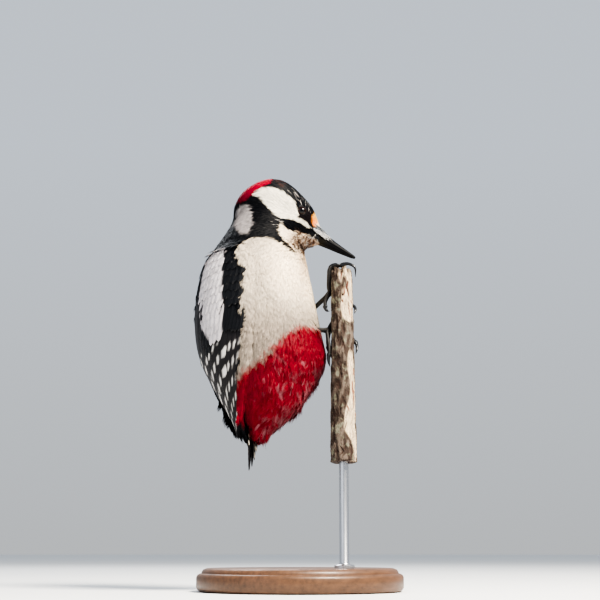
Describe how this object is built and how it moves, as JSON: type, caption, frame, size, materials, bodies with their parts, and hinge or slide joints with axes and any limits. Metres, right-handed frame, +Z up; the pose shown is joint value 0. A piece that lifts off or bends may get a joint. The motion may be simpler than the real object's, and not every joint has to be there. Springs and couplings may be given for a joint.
{
  "type": "great spotted woodpecker model",
  "caption": "Life-size still model of a male great spotted woodpecker clinging to an upright stub, held on a rod and a round base.",
  "frame": {"origin": "centre of the underside of the stand's base", "axes": "+Z up, square to the base; -Y is the way the bird's belly faces, towards the stub, and +X is the bird's left"},
  "size_m": [0.108, 0.1119, 0.2276],
  "materials": {
    "plumage_black": "satin",
    "plumage_white": "matt",
    "bare_skin": "matt",
    "horn": "satin",
    "eye": "gloss",
    "bark": "rough",
    "stand_metal": "brushed",
    "stand_wood": "satin"
  },
  "bodies": {
    "root": {"head": "plumage_black", "neck": "plumage_black", "trunk": "plumage_white", "tail": "plumage_black", "bill_upper": "horn", "bill_lower": "horn", "wing_left": "plumage_black", "eye_left": "eye", "thigh_left": "plumage_white", "shank_left": "bare_skin", "toe_left_1": "bare_skin", "toe_left_2": "bare_skin", "toe_left_3": "bare_skin", "toe_left_4": "bare_skin", "claw_left_1": "horn", "claw_left_2": "horn", "claw_left_3": "horn", "claw_left_4": "horn", "wing_right": "plumage_black", "eye_right": "eye", "thigh_right": "plumage_white", "shank_right": "bare_skin", "toe_right_1": "bare_skin", "toe_right_2": "bare_skin", "toe_right_3": "bare_skin", "toe_right_4": "bare_skin", "claw_right_1": "horn", "claw_right_2": "horn", "claw_right_3": "horn", "claw_right_4": "horn", "perch": "bark", "stand_rod": "stand_metal", "stand_base": "stand_wood"}
  },
  "joints": []
}
